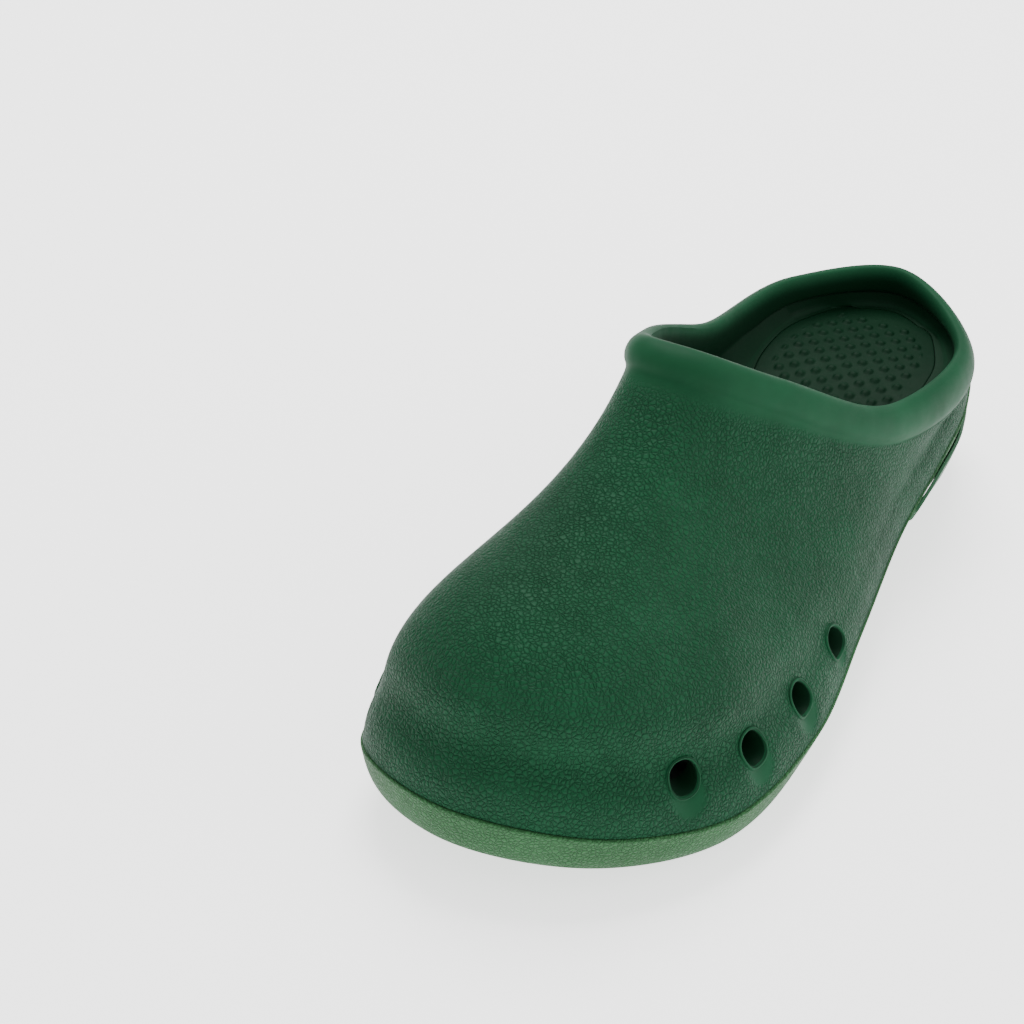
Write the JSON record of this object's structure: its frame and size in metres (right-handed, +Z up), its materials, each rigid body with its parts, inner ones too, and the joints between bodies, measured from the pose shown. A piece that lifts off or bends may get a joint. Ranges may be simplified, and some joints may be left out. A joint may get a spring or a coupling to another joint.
{
  "type": "rubber garden clog",
  "caption": "Closed-toe moulded rubber garden clog for the left foot: vented upper with a rounded collar, thick sole, lift-out insole, heel side panels and tread pads.",
  "frame": {"origin": "centre of the footprint's bounding box, on the ground under the sole", "axes": "+Z up, +Y towards the heel, the toe points to -Y, +X towards the outer side of the left foot"},
  "size_m": [0.1093, 0.2832, 0.1026],
  "materials": {
    "upper_rubber": "fine leather-like grain, satin",
    "sole_rubber": "fine leather-like grain, satin",
    "insole_foam": "smooth matte foam with low nubs",
    "panel_rubber": "smooth satin",
    "tread_rubber": "matte tread"
  },
  "bodies": {
    "clog": {"upper": "upper_rubber", "sole": "sole_rubber", "heel_panel_lateral": "panel_rubber", "heel_panel_medial": "panel_rubber", "tread_forefoot": "tread_rubber", "tread_heel": "tread_rubber"},
    "insole": {"insole": "insole_foam"}
  },
  "joints": [
    {"name": "insole_lift", "type": "hinge", "parent": "clog", "child": "insole", "pos_m": [0, -0.126, 0.0236], "axis": [1, 0, 0], "range_deg": [0, 5]}
  ]
}
